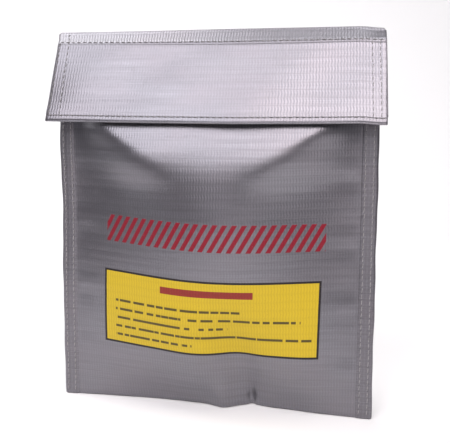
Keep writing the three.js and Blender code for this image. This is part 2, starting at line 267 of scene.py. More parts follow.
# ---- Meshes --------------------------------------------------------------------------------------------
def piece(name, points, faces, material, uv=None):
    """A new object from points in millimetres, with smooth faces that look outward."""
    mesh = bpy.data.meshes.new(name)
    mesh.from_pydata((np.asarray(points) * MM).tolist(), [], [list(face) for face in faces])
    mesh.polygons.foreach_set("use_smooth", [True] * len(mesh.polygons))
    if uv is not None:
        layer = mesh.uv_layers.new(name="cloth")
        corners = np.zeros(len(mesh.loops), int)
        mesh.loops.foreach_get("vertex_index", corners)
        layer.data.foreach_set("uv", (np.asarray(uv)[corners] * MM).ravel())
    mesh.materials.append(material)
    mesh.update()
    if volume_inside(mesh) < 0:
        mesh.flip_normals()
    obj = bpy.data.objects.new(name, mesh)
    bpy.context.scene.collection.objects.link(obj)
    return obj


def volume_inside(mesh):
    """Three times the volume that a closed mesh holds, below 0 where its faces look inward."""
    count = len(mesh.polygons)
    centre, normal, area = np.zeros(3 * count), np.zeros(3 * count), np.zeros(count)
    mesh.polygons.foreach_get("center", centre)
    mesh.polygons.foreach_get("normal", normal)
    mesh.polygons.foreach_get("area", area)
    return float(((centre * normal).reshape(-1, 3).sum(1) * area).sum())


def ring_of(rows, columns):
    """Indices of a grid's rim, in order round it."""
    grid = np.arange(rows * columns).reshape(rows, columns)
    return np.concatenate([grid[0, :-1], grid[:-1, -1], grid[-1, :0:-1], grid[:0:-1, 0]])


def sheet_mesh(name, middle, thickness, material, uv):
    """A closed sheet of cloth round a grid of points, with rounded edges."""
    rows, columns = middle.shape[:2]
    along, across = np.gradient(middle, axis=0), np.gradient(middle, axis=1)
    normal = unit(np.cross(across, along))
    outer, inner = middle + normal * thickness / 2, middle - normal * thickness / 2
    rim = middle.copy()
    reach = lambda v: unit(v) * thickness * 0.45
    rim[0] -= reach(along[0])
    rim[-1] += reach(along[-1])
    rim[:, 0] -= reach(across[:, 0])
    rim[:, -1] += reach(across[:, -1])
    ring = ring_of(rows, columns)
    points = np.concatenate([outer.reshape(-1, 3), inner.reshape(-1, 3), rim.reshape(-1, 3)[ring]])
    grid = np.arange(rows * columns).reshape(rows, columns)
    a, b, c, d = grid[:-1, :-1], grid[:-1, 1:], grid[1:, 1:], grid[1:, :-1]
    top = np.stack([a, b, c, d], -1).reshape(-1, 4)
    below = top[:, ::-1] + rows * columns
    edge = 2 * rows * columns + np.arange(len(ring))
    after = np.roll(ring, -1), np.roll(edge, -1)
    upper = np.stack([ring, edge, after[1], after[0]], -1)
    lower = np.stack([edge, ring + rows * columns, after[0] + rows * columns, after[1]], -1)
    flat = uv.reshape(-1, 2)
    coordinates = np.concatenate([flat, flat, flat[ring]])
    return piece(name, points, np.concatenate([top, below, upper, lower]), material, coordinates)


def path_length(middle):
    """Distance along each column of a grid, from its first row, measured on the middle column."""
    spine = middle[:, middle.shape[1] // 2]
    steps = np.linalg.norm(np.diff(spine, axis=0), axis=-1)
    return np.concatenate([[0], np.cumsum(steps)])


def arc(centre, radius, start, end, steps):
    """Points of an arc round the centre, from one angle in degrees to the other.

    The centre and the radius may be arrays, with one value for each column.
    """
    for angle in np.radians(np.linspace(start, end, steps)):
        yield centre[0] + radius * math.cos(angle), centre[1] + radius * math.sin(angle)


# ---- Materials -----------------------------------------------------------------------------------------
class Nodes:
    """Short-hand for building a material's nodes."""

    def __init__(self, name):
        self.material = bpy.data.materials.new(name)
        self.material.use_nodes = True
        self.tree = self.material.node_tree
        self.shader = next(n for n in self.tree.nodes if n.type == "BSDF_PRINCIPLED")

    def add(self, kind, settings=None, **inputs):
        """A new node. Its inputs are given by name, with _ for a space, or by number as i0, i1."""
        node = self.tree.nodes.new("ShaderNode" + kind)
        for key, value in (settings or {}).items():
            setattr(node, key, value)
        for key, value in inputs.items():
            self.feed(node.inputs[int(key[1:]) if key[1:].isdigit() else key.replace("_", " ")], value)
        return node

    def feed(self, socket, value):
        if isinstance(value, bpy.types.NodeSocket):
            self.tree.links.new(value, socket)
        else:
            socket.default_value = value

    def math(self, operation, *values):
        inputs = {f"i{i}": value for i, value in enumerate(values)}
        return self.add("Math", {"operation": operation}, **inputs).outputs[0]

    def mix(self, share, a, b, blend="MIX"):
        """A mix of two colours; b multiplies a where the blend is MULTIPLY."""
        node = self.add("Mix", {"data_type": "RGBA", "blend_type": blend})
        for socket, value in zip([node.inputs[0], node.inputs[6], node.inputs[7]], [share, a, b]):
            self.feed(socket, value)
        return node.outputs[2]

    def ramp(self, value, *stops):
        """A colour ramp over (position, colour) stops, where a plain number is a grey."""
        node = self.add("ValToRGB", Fac=value)
        elements = node.color_ramp.elements
        while len(elements) < len(stops):
            elements.new(0.5)
        for element, (position, colour) in zip(elements, stops):
            element.position = position
            element.color = (*colour, 1) if hasattr(colour, "__len__") else (colour,) * 3 + (1,)
        return node.outputs[0]

    def noise(self, vector, scale, detail=3.0, rough=0.55):
        """Soft noise between 0 and 1."""
        return self.add("TexNoise", Vector=vector, Scale=scale, Detail=detail, Roughness=rough).outputs[0]

    def stretched(self, vector, scale):
        """Coordinates scaled by axis, so that a small number draws a texture out."""
        return self.add("Mapping", Vector=vector, Scale=scale).outputs[0]

    def between(self, value, low, high, soft=0.1):
        """1 where low < value < high, with edges as soft as given."""
        rise = self.add("MapRange", {"interpolation_type": "SMOOTHSTEP"}, Value=value)
        fall = self.add("MapRange", {"interpolation_type": "SMOOTHSTEP"}, Value=value)
        for node, (start, end) in ((rise, (low - soft, low + soft)), (fall, (high + soft, high - soft))):
            node.inputs["From Min"].default_value = start
            node.inputs["From Max"].default_value = end
        return self.math("MULTIPLY", rise.outputs[0], fall.outputs[0])

    def box(self, u, v, low, high, soft=0.1):
        """1 inside a rectangle of the cloth."""
        inside = [self.between(value, *limits, soft) for value, limits in zip((u, v), zip(low, high))]
        return self.math("MULTIPLY", *inside)


SILVER = (0.203, 0.197, 0.217)
YELLOW = (0.56, 0.395, 0.014)
RED = (0.22, 0.001, 0.014)
INK = (0.012, 0.008, 0.008)

RIB, BAND = 1.5, 2.2  # pitch of the warp's ribs, and of the weft's bands that they slant across
RELIEF = 0.2  # height of the weave's relief
PRINT_TILT, PRINT_LEVEL = 0.021, 54.0  # the print sits a little askew, turned about this level
# Places of the print on the front: across from its middle, and up.
LABEL = {"low": (-60.2, 33.2), "high": (58.7, 75.4), "border": 1.15}
HEADING = {"low": (-26, 66.3), "high": (24, 70.1)}
LINES = {"lengths": (71, 102, 64, 108, 45), "top": 58.3, "pitch": 4.95, "half": 0.7, "indent": 7}
BARS = {"low": (-59, 91), "high": (60, 105.5), "count": 24, "lean": 0.55, "inked": (0.24, 0.76)}


def zigzag(n, value):
    """A wave of straight slopes between -1 and 1, of period 1."""
    return n.math("SUBTRACT", n.math("MULTIPLY", n.math("PINGPONG", value, 0.5), 4.0), 1.0)


def cloth_nodes(name, tint=SILVER, foil=0.82, roughness=0.33, relief=1.0, streaks=1.0):
    """Silver-coated glass cloth: upright ribs, slanted this way and that by bands, and fine streaks."""
    n = Nodes(name)
    uv = n.add("UVMap", {"uv_map": "cloth"}).outputs[0]
    scaled = n.add("VectorMath", {"operation": "SCALE"}, Vector=uv, Scale=1000.0).outputs[0]
    split = n.add("SeparateXYZ", Vector=scaled)
    u, v = split.outputs[0], split.outputs[1]

    wobble = n.math("SUBTRACT", n.noise(n.stretched(scaled, (0.25, 0.35, 1)), 1.0), 0.5)
    band = n.math("ADD", n.math("DIVIDE", v, 2 * BAND), n.math("MULTIPLY", wobble, 0.25))
    slant = n.math("MULTIPLY", zigzag(n, band), 0.1)
    across = n.math("ADD", n.math("ADD", n.math("DIVIDE", u, RIB), slant), n.math("MULTIPLY", wobble, 0.2))
    rib = n.math("MULTIPLY_ADD", n.math("COSINE", n.math("MULTIPLY", across, 2 * math.pi)), 0.5, 0.5)
    beat = n.math("ABSOLUTE", n.math("COSINE", n.math("MULTIPLY", band, math.pi)))
    weave = n.math("MULTIPLY", rib, n.math("MULTIPLY_ADD", beat, 0.65, 0.35))
    weft = n.noise(n.stretched(scaled, (0.03, 1.7, 1)), 1.0, 4.0, 0.6)
    bands = n.noise(n.stretched(scaled, (0.01, 0.3, 1)), 1.0, 2.0, 0.5)
    grain = n.noise(scaled, 3.5, 3.0)
    threads = n.math("MULTIPLY", weft, 0.25 + 0.25 * streaks)
    height = n.math("ADD", n.math("MULTIPLY", weave, 0.8 * relief), threads)
    height = n.math("ADD", height, n.math("MULTIPLY", grain, 0.1))

    # The colour is painted lighter on the ribs and darker in the furrows, a painted highlight and painted
    # shade of the weave's relief; it streaks with the weft, and scuffs.
    clouds = n.noise(n.stretched(scaled, (0.02, 0.03, 1)), 1.0, 4.0, 0.6)
    scuffs = n.ramp(n.noise(n.stretched(scaled, (0.3, 0.08, 1)), 1.0, 8.0, 0.7), (0.58, 0.0), (0.74, 1.0))
    # Painted shade in the furrows and painted highlight on the ribs, as tints of the coating's colour.
    painted_furrow_shade, painted_rib_highlight = ((*(c * share for c in tint), 1) for share in (1 - 0.1 * relief, 1 + 0.08 * relief))
    colour = n.mix(n.ramp(weave, (0.1, 0.0), (0.7, 1.0)), painted_furrow_shade, painted_rib_highlight)
    streak = n.ramp(weft, (0.35, 1 - 0.16 * streaks), (0.65, 1 + 0.14 * streaks))
    streaked = n.mix(1.0, colour, streak, "MULTIPLY")
    warm = (tint[0] * 1.06, tint[1] * 0.98, tint[2] * 0.98, 1)
    colour = n.mix(n.ramp(clouds, (0.4, 0.0), (0.65, 0.35)), streaked, warm)
    colour = n.mix(n.math("MULTIPLY", scuffs, 0.18), colour, (0.25, 0.245, 0.26, 1))
    rough = n.math("MULTIPLY_ADD", bands, 0.12, roughness - 0.06)
    rough = n.math("MULTIPLY_ADD", scuffs, 0.1, rough)
    n.parts = {"u": u, "v": v, "vector": scaled, "weave": weave,
               "height": height, "colour": colour, "rough": rough, "foil": foil}
    return n


def finish_cloth(n, strength=0.5):
    """Feeds the cloth's parts to its shader."""
    p = n.parts
    normal = n.add("Bump", Strength=strength, Distance=RELIEF * MM, Height=p["height"]).outputs[0]
    for socket, value in (("Base Color", p["colour"]), ("Roughness", p["rough"]), ("Metallic", p["foil"]),
                          ("Normal", normal)):
        n.feed(n.shader.inputs[socket], value)
    n.shader.inputs["Sheen Weight"].default_value = 0.05
    n.shader.inputs["Specular IOR Level"].default_value = 0.35
    return n.material


def printed_cloth():
    """The front's cloth, with a bordered yellow panel that holds plain dashes, and a row of red bars."""
    n = cloth_nodes("printed_cloth", relief=0.75, streaks=0.6)
    p = n.parts
    rise = n.math("SUBTRACT", p["v"], PRINT_LEVEL)
    u = n.math("SUBTRACT", p["u"], n.math("MULTIPLY", rise, PRINT_TILT))
    v = n.math("MULTIPLY_ADD", p["u"], PRINT_TILT, p["v"])
    (left, bottom), (right, top), border = LABEL["low"], LABEL["high"], LABEL["border"]
    frame_ink = n.box(u, v, (left, bottom), (right, top), 0.06)
    panel = n.box(u, v, (left + border, bottom + border), (right - border, top - border), 0.06)
    heading = n.box(u, v, HEADING["low"], HEADING["high"], 0.06)
    lines = None
    start, half = left + LINES["indent"], LINES["half"]
    for i, length in enumerate(LINES["lengths"]):
        level = LINES["top"] - LINES["pitch"] * i
        line = n.box(u, v, (start, level - half), (start + length, level + half), 0.2)
        along = n.add("CombineXYZ", X=n.math("MULTIPLY", u, 0.36), Y=7.3 * i).outputs[0]
        line = n.math("MULTIPLY", line, n.ramp(n.noise(along, 1.0, 0.0), (0.38, 0.0), (0.4, 1.0)))
        lines = line if lines is None else n.math("MAXIMUM", lines, line)
    (left, bottom), (right, top) = BARS["low"], BARS["high"]
    lean = n.math("MULTIPLY_ADD", v, -BARS["lean"], u)
    pitch = (right - left) / BARS["count"]
    phase = n.math("FRACT", n.math("DIVIDE", n.math("ADD", lean, 200.0), pitch))
    stripes = n.between(phase, *BARS["inked"], 0.02)
    bars = n.math("MULTIPLY", stripes, n.box(u, v, (left, bottom), (right, top)))

    wear = n.ramp(n.noise(p["vector"], 0.9, 6.0, 0.7), (0.3, 0.8), (0.42, 1.0))
    shade = n.ramp(p["weave"], (0.0, 0.88), (0.6, 1.0))
    for mask, ink, cover in ((frame_ink, INK, 1.0), (panel, YELLOW, 1.0), (heading, RED, 0.95),
                             (lines, INK, 0.88), (bars, RED, 1.0)):
        tone = n.mix(1.0, (*ink, 1), shade, "MULTIPLY")
        amount = n.math("MULTIPLY", n.math("MULTIPLY", mask, wear), cover)
        p["colour"] = n.mix(amount, p["colour"], tone)
    inked = n.math("MAXIMUM", frame_ink, bars)
    p["foil"] = n.math("MULTIPLY", n.math("SUBTRACT", 1.0, inked), p["foil"])
    p["rough"] = n.math("MULTIPLY_ADD", inked, 0.15, p["rough"])
    p["height"] = n.math("MULTIPLY", p["height"], n.math("MULTIPLY_ADD", inked, -0.6, 1.0))
    return finish_cloth(n)


def plain_cloth(rows):
    """The back's and the flap's cloth, drawn down into a groove along its rows of stitches, and darkened
    there with painted shade.
    """
    n = cloth_nodes("coated_cloth", relief=0.75, streaks=0.6)
    p = n.parts
    for level in rows:
        groove = n.between(p["v"], level - 0.3, level + 0.3, 0.3)
        p["height"] = n.math("MULTIPLY_ADD", groove, -1.0, p["height"])
        # Painted shade: the colour darkens in each groove, standing for the shade there and a little dirt.
        p["colour"] = n.mix(n.math("MULTIPLY", groove, 0.45), p["colour"], (0.05, 0.048, 0.052, 1))
    return finish_cloth(n, 0.45)


def binding_cloth():
    """The seam strips' cloth, a shade darker and duller."""
    return finish_cloth(cloth_nodes("binding_cloth", tint=(0.195, 0.187, 0.206), roughness=0.38, relief=0.7))


def thread_material(name, light):
    """Twisted grey thread of the lightness given."""
    n = Nodes(name)
    coordinates = n.add("TexCoord").outputs["Object"]
    twist = n.noise(coordinates, 2600.0, 2.0)
    dark, pale = (tuple(light * share * c for c in (1, 0.95, 0.96)) for share in (0.7, 1.3))
    colour = n.ramp(twist, (0.35, dark), (0.65, pale))
    n.feed(n.shader.inputs["Base Color"], colour)
    normal = n.add("Bump", Strength=0.5, Distance=0.0001, Height=twist).outputs[0]
    n.feed(n.shader.inputs["Normal"], normal)
    n.shader.inputs["Roughness"].default_value = 0.55
    n.shader.inputs["Sheen Weight"].default_value = 0.2
    return n.material


def tape_material(name, light):
    """Black woven tape, hooks or loops, of the lightness given."""
    n = Nodes(name)
    coordinates = n.add("TexCoord").outputs["Object"]
    weave = n.add("TexWave", Vector=coordinates, Scale=220.0, Distortion=1.5, Detail=2.0).outputs[0]
    fuzz = n.noise(coordinates, 900.0, 4.0)
    colour = n.ramp(fuzz, (0.3, (light * 0.6,) * 3), (0.75, (light * 1.5,) * 3))
    n.feed(n.shader.inputs["Base Color"], colour)
    height = n.math("ADD", weave, fuzz)
    n.feed(n.shader.inputs["Normal"], n.add("Bump", Strength=0.5, Distance=0.0002, Height=height).outputs[0])
    n.shader.inputs["Roughness"].default_value = 0.8
    n.shader.inputs["Sheen Weight"].default_value = 0.4
    return n.material


# ---- Cloth ---------------------------------------------------------------------------------------------
FLAP_LENGTH = float(flap_length(np.zeros(1))[0])  # down the middle, from the fold
CREASE_LENGTH = float(np.linalg.norm(np.subtract(*[p[0] for p in flap_profile(np.zeros(1))[:2]])))
EDGE = HALF - BINDING - GAP  # the cloth's own edge inside the binding
COLUMNS = np.linspace(-EDGE, EDGE, 151)
FLOOR = CLOTH / 2 + HAIR  # the sheets' middle over the floor
HEM_ROWS, TURN_ROWS, FRONT_ROWS = 9, 5, 175
HEM_DEPTH = 10  # the mouth's hem, turned in behind the front
FOOT = 3  # height where the cloth starts to turn under


def foot_lines():
    """Where the front and the back meet the floor, for every column, and the line where the sheets meet."""
    ahead = on(front, COLUMNS, 0.5, -CLOTH / 2, FRONT)[:, 1]
    behind = on(back, COLUMNS, 0.5, -CLOTH / 2, BACK)[:, 1]
    return ahead, behind, (ahead + behind) / 2


def front_sheet(material):
    """The sheet from the mouth's hem down the front and half-way back along the foot, and its length."""
    ahead, behind, middle = foot_lines()
    turn = np.clip((behind - ahead) / 4, 0.3, 1.6)
    rows = []
    inside = -1.5 * CLOTH - 0.25
    for z in np.linspace(LIP - HEM_DEPTH, LIP - 1, HEM_ROWS):
        rows.append(on(front, COLUMNS, z, inside, FRONT))
    for share in np.linspace(0, 1, TURN_ROWS + 2)[1:-1]:
        lift = lerp(inside, -CLOTH / 2, (1 - math.cos(math.pi * share)) / 2)
        rows.append(on(front, COLUMNS, LIP - 1 + 0.7 * math.sin(math.pi * share), lift, FRONT))
    for z in np.linspace(LIP - 1, FOOT, FRONT_ROWS):
        rows.append(on(front, COLUMNS, z, -CLOTH / 2, FRONT))
    for y, z in arc((ahead + turn, FLOOR + turn), turn, 180, 270, 6):
        rows.append(np.stack([COLUMNS, y, z], -1))
    for share in np.linspace(0, 1, 9)[1:]:
        rows.append(np.stack([COLUMNS, lerp(ahead + turn, middle, share), np.full(len(COLUMNS), FLOOR)], -1))
    grid = np.stack(rows)
    length = path_length(grid)
    # Along the cloth, v is the height on the standing front, so that prints are placed by their height.
    top = HEM_ROWS + TURN_ROWS
    bottom = top + FRONT_ROWS - 1
    v = np.concatenate([LIP - 1 + length[top] - length[:top], np.linspace(LIP - 1, FOOT, FRONT_ROWS),
                        FOOT - (length[bottom + 1:] - length[bottom])])
    uv = np.stack(np.broadcast_arrays(COLUMNS[None, :], v[:, None]), -1)
    return sheet_mesh("front_and_foot_cloth", grid, CLOTH, material, uv), length[-1]


def back_grid():
    """The middle of the sheet that runs from the foot up the back, over the fold and down the flap."""
    ahead, behind, middle = foot_lines()
    turn = np.clip((behind - ahead) / 4, 0.3, 1.8)
    rows = []
    for share in np.linspace(0, 1, 9)[:-1]:
        rows.append(np.stack([COLUMNS, lerp(middle, behind - turn, share), np.full(len(COLUMNS), FLOOR)], -1))
    for y, z in arc((behind - turn, FLOOR + turn), turn, 270, 360, 6):
        rows.append(np.stack([COLUMNS, y, z], -1))
    for z in np.linspace(FOOT, BACK_TOP - 1.5, 180):
        rows.append(on(back, COLUMNS, z, -CLOTH / 2, BACK))
    widths = COLUMNS / EDGE * FLAP_HALF
    start = on(back, COLUMNS, BACK_TOP - 1, -CLOTH / 2, BACK)
    end = on(flap, widths, 2.0, -FLAP_CLOTH / 2, FRONT)
    apex = (start + end) / 2
    apex[:, 1] = end[:, 1] + 1.6
    apex[:, 2] = flap_profile(COLUMNS)[0][:, 1] + 0.9
    for t in np.linspace(0, 1, 12)[:-1]:
        rows.append(start * (1 - t) ** 2 + 2 * apex * t * (1 - t) + end * t * t)
    for s in np.concatenate([np.linspace(2, 16, 15)[:-1], np.linspace(16, FLAP_LENGTH, 34)]):
        rows.append(on(flap, widths, s, -FLAP_CLOTH / 2, FRONT))
    return np.stack(rows)


def back_sheet(grid, material):
    """The sheet of the back and the flap. Its v is the distance along the cloth, from under the foot."""
    length = path_length(grid)
    uv = np.stack(np.broadcast_arrays(COLUMNS[None, :], length[:, None]), -1)
    return sheet_mesh("back_and_flap_cloth", grid, FLAP_CLOTH, material, uv)


# ---- Strands: stitches, hooks and loops ----------------------------------------------------------------
STITCH_SHAPE = [(-0.5, -0.26, 0.5), (-0.4, 0.02, 0.9), (-0.2, 0.17, 1.0), (0.0, 0.22, 1.05),
                (0.2, 0.17, 1.0), (0.4, 0.02, 0.9), (0.5, -0.26, 0.5)]  # along, lift and girth


def strands(name, at, normal, tangent, shape, material, length, height, radius, sides=6):
    """Short bent threads, one at each point, all of one shape: (along, lift, girth) from end to end.

    The length and the height may be arrays, with one value for each thread.
    """
    normal, tangent = unit(normal), unit(tangent)
    side = unit(np.cross(tangent, normal))
    size = np.stack(np.broadcast_arrays(np.asarray(length, float), np.asarray(height, float), 0 * at[:, 0]))
    path = np.array(shape, float)
    heading = unit(np.gradient(path[:, :2], axis=0) * np.array([np.mean(size[0]), np.mean(size[1])]))
    turn = 2 * math.pi * np.arange(sides) / sides
    points = []
    for (along, lift, girth), (ahead, rise) in zip(path, heading):
        centre = at + tangent * (along * size[0])[:, None] + normal * (lift * size[1])[:, None]
        across = normal * ahead - tangent * rise
        reach = radius * girth
        points.append(centre[:, None] + reach * (np.cos(turn)[:, None] * across[:, None]
                                                 + np.sin(turn)[:, None] * side[:, None]))
    points = np.stack(points, 1)  # strand, ring, side, xyz
    rings = len(path)
    ring, k = np.meshgrid(np.arange(rings - 1), np.arange(sides), indexing="ij")
    here, after = ring * sides + k, ring * sides + (k + 1) % sides
    tube = np.stack([here, after, after + sides, here + sides], -1).reshape(-1, 4)
    caps = [np.arange(sides)[::-1], (rings - 1) * sides + np.arange(sides)]
    starts = (np.arange(len(at)) * rings * sides).tolist()
    faces = [face for start in starts for face in (*(tube + start), *(cap + start for cap in caps))]
    return piece(name, points.reshape(-1, 3), faces, material)


def row_of_stitches(face, outward, start, end, lift):
    """Points, normals and directions of a row of stitches over a face, from (u, v) to (u, v)."""
    start, end = np.array(start, float), np.array(end, float)
    total = np.linalg.norm(end - start)
    count = int(total // STITCH)
    share = (np.arange(count) + 0.5) / count
    u, v = lerp(start[:, None], end[:, None], share)
    at, above = on(face, u, v, lift, outward), on(face, u, v, lift + 1, outward)
    ahead = (end - start) / total
    tangent = on(face, u + ahead[0], v + ahead[1], lift, outward) - at
    wander = 0.1 * np.sin(share * count * 1.7 + total)[:, None]
    side = np.cross(tangent, above - at)
    return at + side * wander, above - at, tangent + side * 0.1


def stitches(name, rows, material, body, *nodes):
    """One piece of all the stitches in the rows, in place of the part's nodes."""
    at, normal, tangent = (np.concatenate(parts) for parts in zip(*rows))
    obj = strands(name, at, normal, tangent, STITCH_SHAPE, material, **STITCH_SIZE)
    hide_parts(*nodes)
    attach(obj, body)


def frame_of_rows(face, outward, low, high, lift):
    """Four rows of stitches round a rectangle of a face."""
    (left, bottom), (right, top) = low, high
    corners = [(left, bottom), (right, bottom), (right, top), (left, top)]
    return [row_of_stitches(face, outward, a, b, lift) for a, b in zip(corners, corners[1:] + corners[:1])]


# ---- Seams ---------------------------------------------------------------------------------------------
STRIP_FACE = HAIR + BINDING  # the strip's outer face above the cloth it is sewn down on
STRIP_START = -0.3  # its inner edge, out from the seam's


def binding(side, name, material):
    """A strip folded round the two sheets' edges, pressed down along its rows of stitches."""
    level = STRIP_FACE - BINDING / 2
    half_depth = BACK_DEPTH / 2 + level
    levels = np.linspace(0.5, LIP, 246)
    section = []
    for across in np.linspace(STRIP_START, SEAM_WIDTH - half_depth, 14):
        section.append((across, -level, 1))
    for deep, across in arc((BACK_DEPTH / 2, SEAM_WIDTH - half_depth), half_depth, 180, 0, 9):
        section.append((across, deep, 0))
    for across in np.linspace(SEAM_WIDTH - half_depth, STRIP_START, 14):
        section.append((across, BACK_DEPTH + level, -1))
    across, deep, faces_front = np.array(section).T
    z = levels[:, None]
    hold = 0.5 + 0.5 * np.cos(2 * math.pi * z / STITCH)
    rows = bump(across, SEAM_ROWS["inner"], 0.8) + bump(across, SEAM_ROWS["outer"], 0.8)
    press = 0.22 * hold * rows + 0.7 * bump(across, -0.5, 1.0)
    swell = 0.15 * np.sin(z / 9 + side) + 0.1 * np.sin(z / 3.7)
    x = side * (INNER + across + swell * smoothstep(across, 5, SEAM_WIDTH))
    grid = place(x, seam_line(z) + deep + press * faces_front, z)
    if side < 0:
        grid = grid[:, ::-1]
    width = np.linspace(-SEAM_WIDTH, SEAM_WIDTH, grid.shape[1])
    uv = np.stack(np.broadcast_arrays(width[None, :], z), -1)
    return sheet_mesh(name, grid, BINDING, material, uv)


def seam_faces():
    """The seams' front and back, as surfaces to put stitches on."""
    return {"needle": (lambda x, z: place(x, seam_line(z), z), FRONT),
            "bobbin": (lambda x, z: place(x, seam_line(z) + BACK_DEPTH, z), BACK)}


def seam_stitches(thread):
    """Two rows up each seam, on the front and on the back."""
    for side, word in ((-1, "left"), (1, "right")):
        for row, across in SEAM_ROWS.items():
            for kind, (face, outward) in seam_faces().items():
                x = side * (INNER + across)
                line = row_of_stitches(face, outward, (x, 2), (x, LIP - 2), STRIP_FACE)
                stitches(f"{word}_{row}_{kind}_stitches", [line], thread, "pouch",
                         f"{word}_seam_{row}_{kind}_thread")


# ---- Flap and tapes ------------------------------------------------------------------------------------
EDGE_ROW = 2.8  # a row of stitches, up from the free edge
SIDE_ROWS = {"left": ((-89.1, -88.8), (-84.3, -82.5)),
             "right": ((87.2, 87.4), (83.2, 83.4))}  # outer and inner row, each from its top to its foot
UNDER = -1.5 * FLAP_CLOTH - HAIR  # a hem's middle, folded flat against the cloth
TAPE_BASE = 0.45  # woven ground of a tape, under its pile


def folded_hem(name, cloth_edge, inward, material):
    """A hem that turns under from the cloth's edge and lies flat. cloth_edge gives (x, s) beyond the edge."""
    radius = (FLAP_CLOTH + HAIR) / 2
    rows = []
    for lift, out in arc((-FLAP_CLOTH / 2 - radius, 0), radius, 0, 180, 7):
        rows.append(on(flap, *cloth_edge(out), lift, FRONT))
    for reach in np.linspace(0, inward, 7)[1:]:
        rows.append(on(flap, *cloth_edge(-reach), UNDER, FRONT))
    grid = np.stack(rows)
    reach = np.linspace(0, inward + 1, len(grid))
    along = np.linspace(0, 1, grid.shape[1]) * np.linalg.norm(grid[0, -1] - grid[0, 0])
    uv = np.stack(np.broadcast_arrays(along[None, :], reach[:, None]), -1)
    return sheet_mesh(name, grid, FLAP_CLOTH, material, uv)


def hems(material):
    """The flap's two side hems and the hem along its free edge."""
    down = np.linspace(2, FLAP_LENGTH - EDGE_HEM - 0.3, 60)
    made = []
    for side, word in ((-1, "left"), (1, "right")):
        edge = lambda out, side=side: (side * (FLAP_HALF + out) + 0 * down, down)
        hem = folded_hem(f"flap_{word}_side_hem", edge, SIDE_HEM, material)
        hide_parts(f"flap_{word}_hem")
        made.append(hem)
    across = np.linspace(-FLAP_HALF, FLAP_HALF, 121)
    edge = lambda out: (across, FLAP_LENGTH + out + 0 * across)
    hem = folded_hem("flap_free_edge_hem", edge, EDGE_HEM, material)
    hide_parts("flap_edge_hem")
    made.append(hem)
    for hem in made:
        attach(hem, "flap")
    return made


def tape(name, face, outward, low, high, lift, material):
    """A woven ground, low to high in (u, v), whose middle is a distance lift outside the face."""
    u = np.linspace(low[0], high[0], 121)
    v = np.linspace(low[1], high[1], 41)
    grid = on(face, u[None, :], v[:, None], lift, outward)
    uv = np.stack(np.broadcast_arrays(u[None, :], v[:, None]), -1)
    return sheet_mesh(name, grid, TAPE_BASE, material, uv)


def pile(name, face, outward, low, high, lift, side, shape, spacing, size, material, seed):
    """Rows of hooks or loops that stand out of a tape, on its outer side (1) or its inner side (-1)."""
    random = np.random.default_rng(seed)
    u = np.arange(low[0] + 1, high[0] - 0.8, spacing[0])
    v = np.arange(low[1] + 1, high[1] - 0.8, spacing[1])
    u, v = (g.ravel() for g in np.meshgrid(u, v))
    u = u + random.uniform(-0.2, 0.2, len(u)) * spacing[0]
    v = v + random.uniform(-0.2, 0.2, len(v)) * spacing[1]
    at, above = on(face, u, v, lift, outward), on(face, u, v, lift + side, outward)
    turn = random.normal(0, size["turn"], len(u))
    across = on(face, u + 1, v, lift, outward) - at
    along = on(face, u, v + 1, lift, outward) - at
    tangent = along * np.cos(turn)[:, None] + across * np.sin(turn)[:, None]
    length = size["length"] * random.uniform(0.8, 1.2, len(u))
    height = size["height"] * random.uniform(0.8, 1.05, len(u))
    return strands(name, at, above - at, tangent, shape, material, length, height, size["radius"], 4)


LOOP_SHAPE = [(-0.3, -0.1, 1), (-0.5, 0.45, 1), (-0.28, 0.9, 1),
              (0.1, 1.0, 1), (0.42, 0.7, 1), (0.3, -0.1, 1)]  # along, lift and girth
HOOK_SHAPE = [(-0.3, -0.1, 1.3), (-0.3, 0.5, 1), (-0.1, 0.92, 0.9), (0.25, 0.95, 0.8), (0.45, 0.6, 0.5)]


def tapes(hook_material, loop_material, thread):
    """Both tapes. Returns the hook tape's corners and its inner face's distance from the flap's face."""
    low, high = (-INNER + 1, FLAP_EDGE + 1), (INNER - 1, LIP - 1)
    top = HAIR + TAPE_BASE
    loop = tape("loop_tape_ground", front, FRONT, low, high, HAIR + TAPE_BASE / 2, loop_material)
    loops = pile("loop_tape_pile", front, FRONT, low, high, top, 1, LOOP_SHAPE, (1.25, 1.3),
                 {"length": 0.95, "height": 0.75, "radius": 0.09, "turn": 1.2}, loop_material, 5)
    loops.parent = loop
    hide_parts("loop_tape")
    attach(loop, "pouch")
    low_row, high_row = (low[0] + 3, low[1] + 3), (high[0] - 3, high[1] - 3)
    rows = frame_of_rows(front, FRONT, low_row, high_row, top)
    stitches("loop_tape_stitches", rows, thread, "pouch", "loop_tape_thread")

    reach = FLAP_HALF - SIDE_HEM - 0.3
    low, high = (-reach, CREASE_LENGTH - 2), (reach, FLAP_LENGTH - EDGE_HEM - 0.5)
    ground = -FLAP_CLOTH - HAIR - TAPE_BASE / 2
    under = ground - TAPE_BASE / 2
    hook = tape("hook_tape_ground", flap, FRONT, low, high, ground, hook_material)
    hooks = pile("hook_tape_hooks", flap, FRONT, low, high, under, -1, HOOK_SHAPE, (1.4, 1.5),
                 {"length": 0.8, "height": 0.7, "radius": 0.11, "turn": 0.15}, hook_material, 6)
    hooks.parent = hook
    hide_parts("hook_tape")
    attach(hook, "flap")
    return low, high, under


